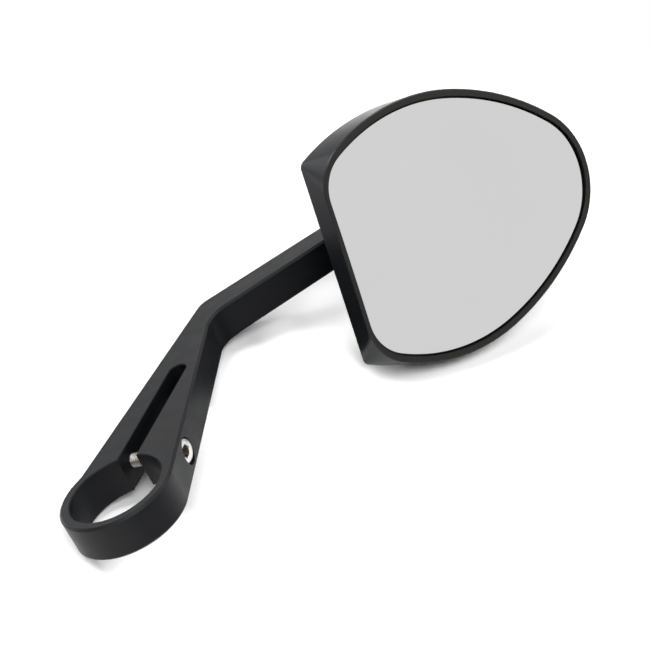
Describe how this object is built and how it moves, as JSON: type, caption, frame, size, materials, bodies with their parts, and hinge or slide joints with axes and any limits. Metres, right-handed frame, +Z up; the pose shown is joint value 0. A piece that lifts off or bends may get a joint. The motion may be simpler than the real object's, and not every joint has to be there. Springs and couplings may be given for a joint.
{
  "type": "clamp-on mirror",
  "caption": "Bar-end rear-view mirror: a flat slotted arm with a split clamp ring carries a ball-jointed teardrop head with slightly convex glass.",
  "frame": {"origin": "centre of the bar bore, halfway through the arm's thickness", "axes": "+X along the bar, +Z up the straight part of the arm, and the glass faces -Y"},
  "size_m": [0.0978, 0.1005, 0.2432],
  "materials": {
    "anodised_arm": "fine blasted, black anodised",
    "anodised_housing": "satin, black anodised",
    "stainless_screw": "turned stainless",
    "plated_steel": "zinc plated",
    "cup_plastic": "moulded, self-lubricating",
    "adhesive": "cured bead",
    "mirror_glass": "front polished, slightly convex"
  },
  "bodies": {
    "base": {"clamp_arm": "anodised_arm", "clamp_screw": "stainless_screw", "ball_stud": "plated_steel"},
    "front_cup": {"front_ball_cup": "cup_plastic"},
    "rear_cup": {"rear_ball_cup": "cup_plastic"},
    "mirror_head": {"mirror_housing": "anodised_housing", "pressure_ring": "cup_plastic", "disc_spring": "plated_steel", "retaining_plate": "plated_steel", "plate_screws": "plated_steel", "glass_adhesive": "adhesive", "mirror_glass": "mirror_glass"}
  },
  "joints": [
    {"name": "head_spin", "type": "hinge", "parent": "base", "child": "front_cup", "pos_m": [0, 0.0525, 0.1332], "axis": [0, 1, 0], "range_deg": [-86.9, 63.1]},
    {"name": "head_pitch", "type": "hinge", "parent": "front_cup", "child": "rear_cup", "pos_m": [0, 0.0525, 0.1332], "axis": [0.9785, 0, -0.2062], "range_deg": [-10, 18]},
    {"name": "head_yaw", "type": "hinge", "parent": "rear_cup", "child": "mirror_head", "pos_m": [0, 0.0525, 0.1332], "axis": [0.2057, 0.0698, 0.9761], "range_deg": [-3.3, 24.7]}
  ]
}
